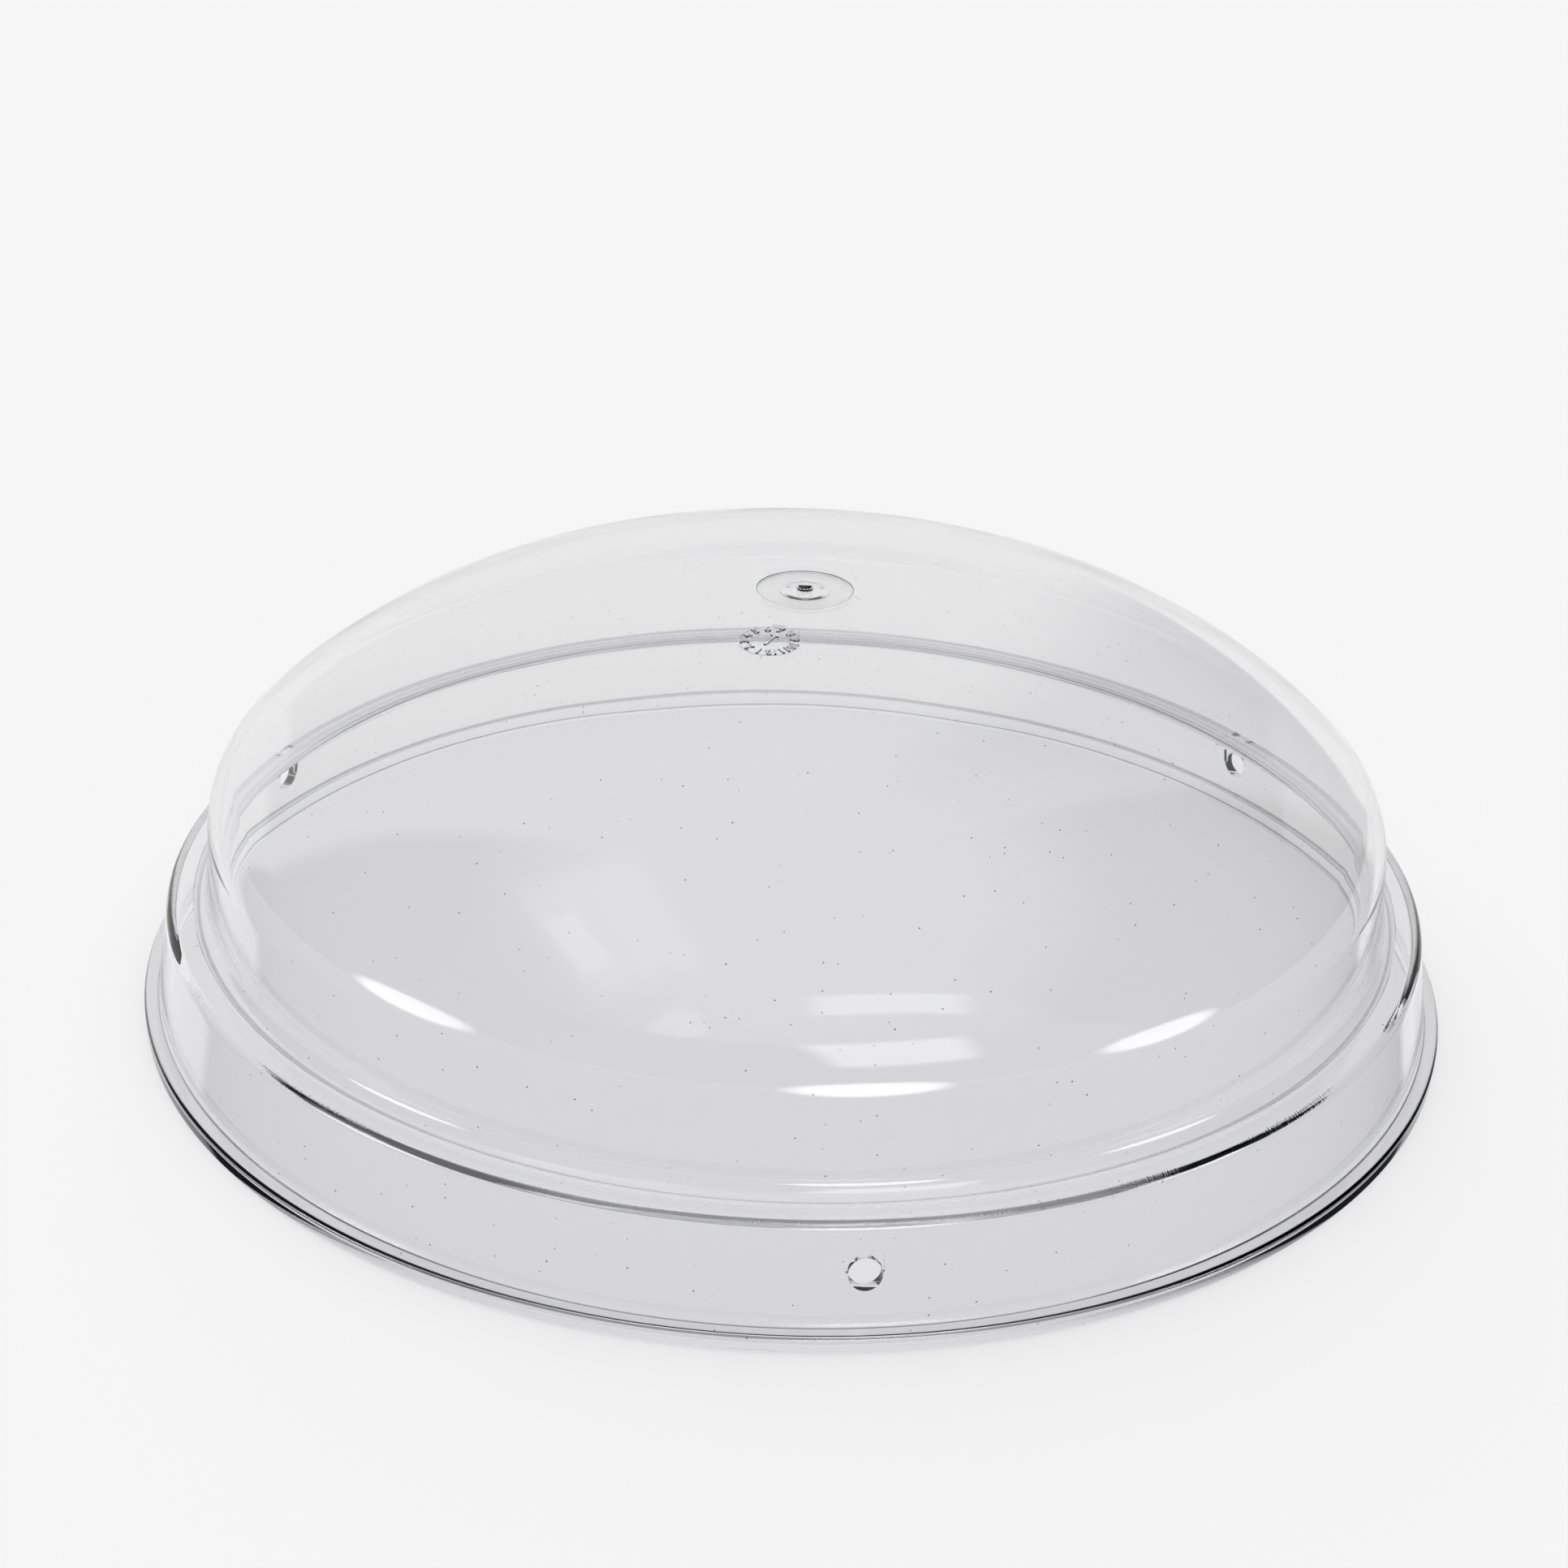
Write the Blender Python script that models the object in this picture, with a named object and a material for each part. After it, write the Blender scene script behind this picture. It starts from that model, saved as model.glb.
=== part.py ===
"""Round clear cover: a skirted base ring with three fixing holes, a lift-off dome and a crown vent plug."""

import math

import bmesh
import bpy
from mathutils import Matrix, Vector

# Driving sizes, in metres and radians

# Base ring
RIM_RADIUS = 0.140
RIM_WIDTH = 0.0030
RIM_HEIGHT = 0.0036
RIM_ROUNDING = 0.0010
SKIRT_DRAFT = math.radians(9.0)
LEDGE_HEIGHT = 0.0235
LEDGE_WIDTH = 0.0054
LEDGE_THICKNESS = 0.0026
CORNER_ROUNDING = 0.0019
INNER_ROUNDING = 0.0005
SEAT_DEPTH = 0.0014
LAP_WIDTH = 0.0020
HOLE_COUNT = 3
HOLE_DIAMETER = 0.0062
HOLE_HEIGHT = 0.0135
RELIEF_DEPTH = 0.0008

# Dome
WALL = 0.0022
FOOT_FILLET = 0.0030
DOME_DRAFT = math.radians(4.0)
DOME_WALL_HEIGHT = 0.0172
SHOULDER_RADIUS = 0.0160
SHOULDER_TURN = math.radians(47.7)
FLANK_RADIUS = 0.131
FLANK_TURN = math.radians(82.1)

# Crown vent
DISC_DIAMETER = 0.0201
RECESS_MARGIN = 0.0015
MARGIN_SINK = 0.00005
RECESS_DEPTH = 0.00135
DISC_THICKNESS = 0.0008
STEM_DIAMETER = 0.0103
STEM_REACH = 0.0012
STEM_ROUNDING = 0.0010
NUB_DIAMETER = 0.0034
NUB_HEIGHT = 0.0011

# Fits and facets
CLEARANCE = 0.0003
RING_SIDES = 72
PLUG_SIDES = 36
HOLE_SIDES = 24
FACE_STEP = math.radians(6.0)
ROUNDING_STEP = math.radians(30.0)

# Sizes that follow from the driving ones
SKIRT_FOOT_RADIUS = RIM_RADIUS - RIM_WIDTH
LEDGE_RADIUS = SKIRT_FOOT_RADIUS - (LEDGE_HEIGHT - RIM_HEIGHT) * math.tan(SKIRT_DRAFT)
SKIRT_WALL = WALL / math.cos(SKIRT_DRAFT)
FOOT_RADIUS = LEDGE_RADIUS - LEDGE_WIDTH
LAP_RADIUS = FOOT_RADIUS - LAP_WIDTH
SEAT_HEIGHT = LEDGE_HEIGHT - SEAT_DEPTH
FOOT_BOTTOM = SEAT_HEIGHT + CLEARANCE
FILLET_CENTRE = Vector((FOOT_RADIUS, LEDGE_HEIGHT + FOOT_FILLET))
BORE_RADIUS = STEM_DIAMETER / 2 + CLEARANCE
RECESS_RADIUS = DISC_DIAMETER / 2 + RECESS_MARGIN
SOCKET_RADIUS = DISC_DIAMETER / 2 + CLEARANCE


def polar(centre, radius, angle):
    """The point at this radius and angle from a centre, in the (radius, height) plane."""
    return Vector((centre.x + radius * math.cos(angle), centre.y + radius * math.sin(angle)))


def arc(centre, radius, start, end, step):
    """Points along an arc, both ends included, no further apart than the step angle."""
    steps = max(2, math.ceil(abs(end - start) / step))
    return [polar(centre, radius, start + (end - start) * i / steps) for i in range(steps + 1)]


def rounded(before, corner, after, radius):
    """An arc that rounds the corner between two straight runs."""
    back = (before - corner).normalized()
    ahead = (after - corner).normalized()
    half = back.angle(ahead) / 2
    centre = corner + (back + ahead).normalized() * radius / math.sin(half)
    first = corner + back * radius / math.tan(half) - centre
    turn = first.angle_signed(corner + ahead * radius / math.tan(half) - centre)
    start = math.atan2(first.y, first.x)
    return arc(centre, radius, start, start - turn, ROUNDING_STEP)


def skirt_radius(height):
    """Radius of the skirt's outer face at a height."""
    return SKIRT_FOOT_RADIUS - (height - RIM_HEIGHT) * math.tan(SKIRT_DRAFT)


def dome_arcs():
    """Centres and radii of the shoulder, flank and crown arcs, each tangent to the one before."""
    wall_normal = Vector((math.cos(DOME_DRAFT), math.sin(DOME_DRAFT)))
    wall_start = FILLET_CENTRE - wall_normal * FOOT_FILLET
    up_wall = Vector((-wall_normal.y, wall_normal.x))
    shoulder_start = wall_start + up_wall * (DOME_WALL_HEIGHT - FOOT_FILLET)
    shoulder = shoulder_start - wall_normal * SHOULDER_RADIUS
    flank_start = polar(shoulder, SHOULDER_RADIUS, SHOULDER_TURN)
    flank = polar(flank_start, -FLANK_RADIUS, SHOULDER_TURN)
    crown_start = polar(flank, FLANK_RADIUS, FLANK_TURN)
    crown_radius = crown_start.x / math.cos(FLANK_TURN)
    crown = polar(crown_start, -crown_radius, FLANK_TURN)
    return (shoulder, SHOULDER_RADIUS), (flank, FLANK_RADIUS), (crown, crown_radius)


def crown_height(radius, inset):
    """Height of the crown's outer face, or of a face inset from it, at a radius."""
    centre, crown_radius = dome_arcs()[2]
    return centre.y + math.sqrt((crown_radius - inset) ** 2 - radius ** 2)


def dome_face(inset, foot_angle, crown_edge):
    """The dome's outer or inner face from its foot to the crown's edge."""
    (shoulder, shoulder_radius), (flank, flank_radius), (crown, crown_radius) = dome_arcs()
    last_angle = math.acos(crown_edge / (crown_radius - inset))
    wall_angle = math.pi + DOME_DRAFT
    points = arc(FILLET_CENTRE, FOOT_FILLET + inset, foot_angle, wall_angle, ROUNDING_STEP)
    points += arc(shoulder, shoulder_radius - inset, DOME_DRAFT, SHOULDER_TURN, FACE_STEP)
    points += arc(flank, flank_radius - inset, SHOULDER_TURN, FLANK_TURN, FACE_STEP)[1:]
    points += arc(crown, crown_radius - inset, FLANK_TURN, last_angle, FACE_STEP)[1:]
    return points


def make_material(name, colour, roughness):
    material = bpy.data.materials.new(name)
    material.use_nodes = True
    shader = material.node_tree.nodes["Principled BSDF"]
    shader.inputs["Base Color"].default_value = colour
    shader.inputs["Metallic"].default_value = 0.0
    shader.inputs["Roughness"].default_value = roughness
    shader.inputs["Transmission Weight"].default_value = 1.0
    return material


def turned(name, outline, closed, sides, material):
    """A solid made by turning an outline of (radius, height) points about the Z axis."""
    shape = bmesh.new()
    points = [shape.verts.new((point.x, 0.0, point.y)) for point in outline]
    ends = zip(points, points[1:] + points[:1]) if closed else zip(points, points[1:])
    edges = [shape.edges.new(pair) for pair in ends]
    bmesh.ops.spin(
        shape,
        geom=points + edges,
        cent=(0.0, 0.0, 0.0),
        axis=(0.0, 0.0, 1.0),
        angle=math.tau,
        steps=sides,
        use_merge=True,
    )
    bmesh.ops.remove_doubles(shape, verts=shape.verts, dist=CLEARANCE / 100)
    bmesh.ops.recalc_face_normals(shape, faces=shape.faces)
    mesh = bpy.data.meshes.new(name)
    shape.to_mesh(mesh)
    shape.free()
    mesh.shade_smooth()
    mesh.set_sharp_from_angle(angle=math.radians(25.0))
    mesh.materials.append(material)
    piece = bpy.data.objects.new(name, mesh)
    bpy.context.collection.objects.link(piece)
    return piece


def ring_outline():
    """Section of the base ring: bead, drafted skirt, flat ledge and the lip under the dome's foot."""
    underside = LEDGE_HEIGHT - LEDGE_THICKNESS
    seat_edge = LAP_RADIUS + CLEARANCE
    foot_inside = Vector((skirt_radius(0.0) - SKIRT_WALL, 0.0))
    foot_outside = Vector((RIM_RADIUS, 0.0))
    bead_top = Vector((RIM_RADIUS, RIM_HEIGHT))
    bead_root = Vector((SKIRT_FOOT_RADIUS, RIM_HEIGHT))
    ledge_corner = Vector((LEDGE_RADIUS, LEDGE_HEIGHT))
    ledge_edge = Vector((FOOT_RADIUS + CLEARANCE, LEDGE_HEIGHT))
    seat_root = Vector((FOOT_RADIUS + CLEARANCE, SEAT_HEIGHT))
    seat_lip = Vector((seat_edge, SEAT_HEIGHT))
    lip_bottom = Vector((seat_edge, underside))
    inner_corner = Vector((skirt_radius(underside) - SKIRT_WALL, underside))
    outline = [foot_inside]
    outline += rounded(foot_inside, foot_outside, bead_top, RIM_ROUNDING / 2)
    outline += rounded(foot_outside, bead_top, bead_root, RIM_ROUNDING)
    outline += rounded(bead_top, bead_root, ledge_corner, RIM_ROUNDING / 2)
    outline += rounded(bead_root, ledge_corner, ledge_edge, CORNER_ROUNDING)
    outline += [ledge_edge, seat_root, seat_lip, lip_bottom]
    outline += rounded(lip_bottom, inner_corner, foot_inside, INNER_ROUNDING)
    return outline


def dome_outline():
    """Section of the dome: half-lapped foot, drafted wall, shoulder, flank, crown and plug socket."""
    lap_angle = math.pi + math.acos(LAP_WIDTH / (FOOT_FILLET + WALL))
    outer = dome_face(0.0, 1.5 * math.pi, RECESS_RADIUS)
    inner = dome_face(WALL, lap_angle, BORE_RADIUS)
    margin = crown_height(SOCKET_RADIUS, 0.0) - MARGIN_SINK
    floor = crown_height(0.0, 0.0) - RECESS_DEPTH
    recess = [Vector((SOCKET_RADIUS, margin)), Vector((SOCKET_RADIUS, floor)), Vector((BORE_RADIUS, floor))]
    lap = [Vector((LAP_RADIUS, FOOT_BOTTOM)), Vector((FOOT_RADIUS, FOOT_BOTTOM))]
    return lap + outer + recess + inner[::-1]


def plug_outline():
    """Section of the vent plug, from the tip of its nub down to the end of its stem."""
    disc_bottom = crown_height(0.0, 0.0) - RECESS_DEPTH + CLEARANCE
    disc_top = disc_bottom + DISC_THICKNESS
    nub_top = disc_top + NUB_HEIGHT
    stem_end = crown_height(0.0, WALL) - STEM_REACH
    stem_root = Vector((STEM_DIAMETER / 2, disc_bottom))
    stem_corner = Vector((STEM_DIAMETER / 2, stem_end))
    end_middle = Vector((0.0, stem_end))
    return [
        Vector((0.0, nub_top)),
        Vector((NUB_DIAMETER / 2, nub_top)),
        Vector((NUB_DIAMETER / 2, disc_top)),
        Vector((DISC_DIAMETER / 2, disc_top)),
        Vector((DISC_DIAMETER / 2, disc_bottom)),
        stem_root,
        *rounded(stem_root, stem_corner, end_middle, STEM_ROUNDING),
        end_middle,
    ]


def cut(piece, shape, name, place):
    """Takes a cutter's shape, moved to its place, out of a piece."""
    mesh = bpy.data.meshes.new(name)
    shape.to_mesh(mesh)
    shape.free()
    cutter = bpy.data.objects.new(name, mesh)
    bpy.context.collection.objects.link(cutter)
    cutter.matrix_world = place
    cutter.hide_render = True
    cutter.display_type = "WIRE"
    modifier = piece.modifiers.new(name, "BOOLEAN")
    modifier.operation = "DIFFERENCE"
    modifier.solver = "MANIFOLD"
    modifier.object = cutter


def drill_skirt(ring):
    """Cuts the evenly spaced fixing holes, the first at the front, and a square relief inside each."""
    depth = 4 * (RIM_WIDTH + SKIRT_WALL)
    outer = skirt_radius(HOLE_HEIGHT)
    lean = Matrix.Rotation(-SKIRT_DRAFT, 4, "Y")
    for index in range(HOLE_COUNT):
        turn = Matrix.Rotation(math.tau * index / HOLE_COUNT - math.pi / 2, 4, "Z")
        drill = bmesh.new()
        bmesh.ops.create_cone(
            drill,
            cap_ends=True,
            segments=HOLE_SIDES,
            radius1=HOLE_DIAMETER / 2,
            radius2=HOLE_DIAMETER / 2,
            depth=depth,
            matrix=Matrix.Rotation(math.pi / 2, 4, "Y"),
        )
        middle = Matrix.Translation((outer - SKIRT_WALL / 2, 0.0, HOLE_HEIGHT))
        cut(ring, drill, f"hole_cutter_{index}", turn @ middle)
        block = bmesh.new()
        size = (depth, HOLE_DIAMETER + 2 * CLEARANCE, HOLE_DIAMETER / 2 + 2 * CLEARANCE, 1.0)
        bmesh.ops.create_cube(block, size=1.0, matrix=Matrix.Diagonal(size))
        inner = outer - SKIRT_WALL + RELIEF_DEPTH / math.cos(SKIRT_DRAFT)
        face = Matrix.Translation((inner, 0.0, HOLE_HEIGHT))
        sunk = Matrix.Translation((-depth / 2, 0.0, size[2] / 2 - CLEARANCE))
        cut(ring, block, f"relief_cutter_{index}", turn @ face @ lean @ sunk)


def main():
    for old in list(bpy.data.objects):
        bpy.data.objects.remove(old)
    ring_plastic = make_material("clear_plastic_ring", (0.90, 0.90, 0.92, 1.0), 0.06)
    dome_plastic = make_material("clear_plastic_dome", (0.92, 0.92, 0.94, 1.0), 0.04)
    plug_plastic = make_material("clear_plastic_plug", (0.90, 0.90, 0.92, 1.0), 0.08)
    ring = turned("base_ring", ring_outline(), True, RING_SIDES, ring_plastic)
    drill_skirt(ring)
    dome = turned("dome_cover", dome_outline(), True, RING_SIDES, dome_plastic)
    dome.parent = ring
    plug = turned("vent_plug", plug_outline(), False, PLUG_SIDES, plug_plastic)
    plug.parent = dome


main()
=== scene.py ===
"""Looks of the clear round humidity dome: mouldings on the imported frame, the studio and the camera."""

import math

import bpy
from mathutils import Matrix, Vector


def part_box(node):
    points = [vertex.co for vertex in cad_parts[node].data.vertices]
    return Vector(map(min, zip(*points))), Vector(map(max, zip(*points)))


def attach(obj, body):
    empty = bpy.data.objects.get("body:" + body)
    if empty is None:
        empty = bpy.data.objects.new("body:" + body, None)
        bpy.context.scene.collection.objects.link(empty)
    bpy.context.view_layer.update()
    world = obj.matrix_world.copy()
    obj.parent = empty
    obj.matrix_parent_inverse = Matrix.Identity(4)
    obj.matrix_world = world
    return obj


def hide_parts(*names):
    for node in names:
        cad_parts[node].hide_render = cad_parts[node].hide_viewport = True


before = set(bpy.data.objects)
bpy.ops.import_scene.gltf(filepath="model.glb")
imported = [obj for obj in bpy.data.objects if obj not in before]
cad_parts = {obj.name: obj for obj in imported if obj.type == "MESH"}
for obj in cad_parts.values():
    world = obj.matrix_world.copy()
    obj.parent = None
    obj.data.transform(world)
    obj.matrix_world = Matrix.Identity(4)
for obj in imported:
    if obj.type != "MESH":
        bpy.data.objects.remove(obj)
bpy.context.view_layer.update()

MM = 0.001

# Sizes read from the frame
_, ring_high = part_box("base_ring")
dome_low, dome_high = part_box("dome_cover")
_, plug_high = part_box("vent_plug")
RIM_RADIUS = ring_high[0]
LEDGE_HEIGHT = ring_high[2]
FOOT_RADIUS = dome_high[0]
FOOT_BOTTOM = dome_low[2]
DISC_RADIUS = plug_high[0]

# Base ring section
RIM_WIDTH = 3.0 * MM
RIM_HEIGHT = 3.6 * MM
RIM_ROUNDING = 1.0 * MM
SKIRT_DRAFT = math.radians(9.0)
LEDGE_THICKNESS = 2.6 * MM
CORNER_ROUNDING = 1.9 * MM
INNER_ROUNDING = 0.5 * MM
LAP_WIDTH = 2.0 * MM
HOLE_COUNT = 3
HOLE_SIDES = 64
HOLE_RADIUS = 3.1 * MM
HOLE_HEIGHT = 13.5 * MM
RELIEF_DEPTH = 0.8 * MM

# Dome section
WALL = 2.2 * MM
FOOT_FILLET = 3.0 * MM
DOME_DRAFT = math.radians(4.0)
DOME_WALL_HEIGHT = 17.2 * MM
SHOULDER_RADIUS = 16.0 * MM
SHOULDER_TURN = math.radians(47.7)
FLANK_RADIUS = 131.0 * MM
FLANK_TURN = math.radians(82.1)
LATEST_EASE = math.radians(88.0)
FIT_ROUNDS = 40

# Crown vent section
RECESS_MARGIN = 1.5 * MM
MARGIN_SINK = 0.05 * MM
RECESS_DEPTH = 1.75 * MM
DISC_THICKNESS = 1.2 * MM
DISC_ROUNDING = 0.08 * MM
STEM_RADIUS = 5.15 * MM
STEM_BULGE = 0.12 * MM
STEM_SOFTNESS = 2.0 * MM
STEM_STEPS = 24
NUB_RADIUS = 1.45 * MM
NUB_RISE = 1.1 * MM
NUB_COLLAR = 0.5
NUB_FLARE = 1.04
NUB_ROWS = 6
NUB_RIBS = 7
RIB_REACH = 1.75 * MM
RIB_WIDTH = 0.36 * MM
NUB_SIDES = 14

# Month dial moulded on the crown
DIAL_RADIUS = 6.15 * MM
DIAL_DISTANCE = 27.5 * MM
DIAL_BEARING = math.radians(-110.2)
DIAL_MONTHS = 12
FIGURE_RING = 4.9 * MM
FIGURE_SIZE = 2.6 * MM
FIGURE_HEIGHT = 0.32 * MM
FIGURE_CHAMFER = 0.08 * MM
FIGURE_CURVE_STEPS = 3
DIAL_LINE = 0.05 * MM
DIAL_SEGMENTS = 96
DIAL_LINE_SIDES = 8
ARROW_LENGTH = 4.0 * MM
ARROW_WIDTH = 0.55 * MM
ARROW_HEAD = 2 * ARROW_WIDTH
ARROW_TIP = ARROW_LENGTH / 2 + ARROW_WIDTH * 1.05
ARROW_TURN = math.radians(-33.0)

# Fit and fineness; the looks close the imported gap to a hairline
CLEARANCE = 0.3 * MM
HAIRLINE = 0.06 * MM
TURN_STEPS = 360
WALL_ROWS = 8
CAP_STEPS = 80
SKIRT_ROWS = 12
FACE_STEP = math.radians(1.5)
ROUNDING_STEP = math.radians(9.0)
SHARP_ANGLE = math.radians(20.0)
MERGE_DISTANCE = MM / 500
DIAL_MERGE_DISTANCE = MM / 1000

# Sizes that follow
SKIRT_FOOT_RADIUS = RIM_RADIUS - RIM_WIDTH
LEDGE_RADIUS = SKIRT_FOOT_RADIUS - (LEDGE_HEIGHT - RIM_HEIGHT) * math.tan(SKIRT_DRAFT)
SKIRT_WALL = WALL / math.cos(SKIRT_DRAFT)
SEAT_HEIGHT = FOOT_BOTTOM - HAIRLINE
LAP_RADIUS = FOOT_RADIUS - LAP_WIDTH
FILLET_CENTRE = Vector((FOOT_RADIUS, LEDGE_HEIGHT + FOOT_FILLET))
BORE_RADIUS = STEM_RADIUS + HAIRLINE
RECESS_RADIUS = DISC_RADIUS + RECESS_MARGIN
SOCKET_RADIUS = DISC_RADIUS + HAIRLINE

# Camera, fitted to the photograph
CAMERA_PLACE = Vector((-54.7, -503.8, 289.3)) * MM
CAMERA_HEADING = math.radians(-5.85)
CAMERA_PITCH = math.radians(26.01)
CAMERA_ROLL = math.radians(1.82)
FOCAL_PIXELS = 3231.0
IMAGE_PIXELS = 1932.0
SENSOR_WIDTH_MM = 36.0

# Clear plastic
PLASTIC_TINT = "#F7F7F7"
PLASTIC_IOR = 1.49
PLASTIC_ROUGHNESS = 0.015
PASSED_LIGHT = "#E8E8EA"
DEPTH_COLOUR = "#F0F0F3"
DEPTH_DENSITY = 35.0
WAVE_LENGTH = 30 * MM
WAVE_STRENGTH = 0.08
WAVE_HEIGHT = 0.4 * MM
SPECK_COLOUR = "#505054"
SPECK_SPACING = 2.9 * MM
SPECK_RADIUS = 0.2 * MM
SCORE_PITCH = 0.4 * MM
SCORE_HEIGHT = 0.12 * MM
SCORE_PATCH = LEDGE_RADIUS / 4
SCORE_REACH = 0.9 * CORNER_ROUNDING
PATCH_FADE = 0.4
PATCH_FULL = 0.62

# Studio
FLOOR_RADIUS = 6.0
FLOOR_SIDES = 128
FLOOR_COLOUR = "#F7F7F7"
FLOOR_OWN_SHARE = 0.5
FLOOR_DROP = 0.15 * MM
FILL_STRENGTH = 1.5
FILL_ANGLE = math.radians(70.0)
CARD_AIM = Vector((0.0, 0.0, 45.0 * MM))
STRIP_DISTANCE = 0.6
STRIP_HEIGHT = 0.18
WINDOW_DISTANCE = 1.4
ROOM_FRONT = "#95959A"
ROOM_LEFT = "#6E6E73"
ROOM_RIGHT = "#101012"
ROOM_BACK = "#F7F7F8"
ROOM_BACK_RIGHT = "#B8B8BC"
ROOM_CEILING = "#F7F7F8"
ROOM_BELOW = "#48484C"
BACK_BEARING = 91.5
BACK_INNER = 50.0
BACK_OUTER = 55.0
CEILING_START = 0.75
CEILING_FULL = 0.98


# Sections of the turned pieces


def polar(centre, radius, angle):
    """The point at this radius and angle from a centre, in the (radius, height) plane."""
    return Vector((centre.x + radius * math.cos(angle), centre.y + radius * math.sin(angle)))


def arc(centre, radius, start, end, step):
    """Points along an arc, both ends included."""
    steps = max(2, math.ceil(abs(end - start) / step))
    return [polar(centre, radius, start + (end - start) * i / steps) for i in range(steps + 1)]


def rounded(before, corner, after, radius):
    """An arc that rounds the corner between two straight runs."""
    back = (before - corner).normalized()
    ahead = (after - corner).normalized()
    half = back.angle(ahead) / 2
    centre = corner + (back + ahead).normalized() * radius / math.sin(half)
    first = corner + back * radius / math.tan(half) - centre
    turn = first.angle_signed(corner + ahead * radius / math.tan(half) - centre)
    start = math.atan2(first.y, first.x)
    return arc(centre, radius, start, start - turn, ROUNDING_STEP)


def run(start, end, count):
    """Points inside a straight run, its ends left out."""
    return [start.lerp(end, i / count) for i in range(1, count)]


def skirt_radius(height):
    """Radius of the skirt's outer face at a height."""
    return SKIRT_FOOT_RADIUS - (height - RIM_HEIGHT) * math.tan(SKIRT_DRAFT)


def dome_arcs():
    """The shoulder arc's centre, the point where the flank arc starts, and the crown's height."""
    wall_normal = Vector((math.cos(DOME_DRAFT), math.sin(DOME_DRAFT)))
    wall_start = FILLET_CENTRE - wall_normal * FOOT_FILLET
    up_wall = Vector((-wall_normal.y, wall_normal.x))
    shoulder_start = wall_start + up_wall * (DOME_WALL_HEIGHT - FOOT_FILLET)
    shoulder = shoulder_start - wall_normal * SHOULDER_RADIUS
    flank_start = polar(shoulder, SHOULDER_RADIUS, SHOULDER_TURN)
    flank = polar(flank_start, -FLANK_RADIUS, SHOULDER_TURN)
    crown_start = polar(flank, FLANK_RADIUS, FLANK_TURN)
    crown_radius = crown_start.x / math.cos(FLANK_TURN)
    crown = polar(crown_start, -crown_radius, FLANK_TURN)
    return shoulder, flank_start, crown.y + crown_radius


def swept_cap(ease_start):
    """The cap from shoulder to axis as (lean, point), its curve easing after a lean to end on the axis."""
    _, start, _ = dome_arcs()
    turn = math.pi / 2 - SHOULDER_TURN
    leans = [SHOULDER_TURN + turn * i / CAP_STEPS for i in range(CAP_STEPS + 1)]
    middles = [(a + b) / 2 for a, b in zip(leans, leans[1:])]
    width = leans[1] - leans[0]
    eased = [max(0.0, (lean - ease_start) / (math.pi / 2 - ease_start)) for lean in middles]
    shares = [part * part * (3 - 2 * part) for part in eased]
    reach = sum(share * math.sin(lean) * width for share, lean in zip(shares, middles))
    spare = start.x - FLANK_RADIUS * math.cos(SHOULDER_TURN)
    points = [start]
    for share, lean in zip(shares, middles):
        step = (FLANK_RADIUS + share * spare / reach) * width
        points.append(points[-1] + step * Vector((-math.sin(lean), math.cos(lean))))
    return list(zip(leans, points))


def fitted_cap():
    """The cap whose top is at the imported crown's height."""
    crown_top = dome_arcs()[2]
    low = SHOULDER_TURN
    high = LATEST_EASE
    for _ in range(FIT_ROUNDS):
        middle = (low + high) / 2
        if swept_cap(middle)[-1][1].y > crown_top:
            low = middle
        else:
            high = middle
    return swept_cap(low)


def dome_face(inset, foot_angle, crown_edge):
    """The dome's outer or inner face from its foot to the crown's edge."""
    shoulder = dome_arcs()[0]
    wall_angle = math.pi + DOME_DRAFT
    foot = arc(FILLET_CENTRE, FOOT_FILLET + inset, foot_angle, wall_angle, ROUNDING_STEP)
    bend = arc(shoulder, SHOULDER_RADIUS - inset, DOME_DRAFT, SHOULDER_TURN, FACE_STEP)
    cap = [polar(point, -inset, lean) for lean, point in CAP[1:]]
    kept = [point for point in cap if point.x > crown_edge]
    past = cap[len(kept)]
    edge = kept[-1].lerp(past, (kept[-1].x - crown_edge) / (kept[-1].x - past.x))
    return foot + run(foot[-1], bend[0], WALL_ROWS) + bend + kept + [edge]


def cap_spot(radius):
    """Lean and height of the cap's outer face at a radius."""
    after = next(i for i, (_, point) in enumerate(CAP) if point.x < radius)
    (first, before), (last, past) = CAP[after - 1], CAP[after]
    share = (before.x - radius) / (before.x - past.x)
    return first + (last - first) * share, before.lerp(past, share).y


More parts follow.
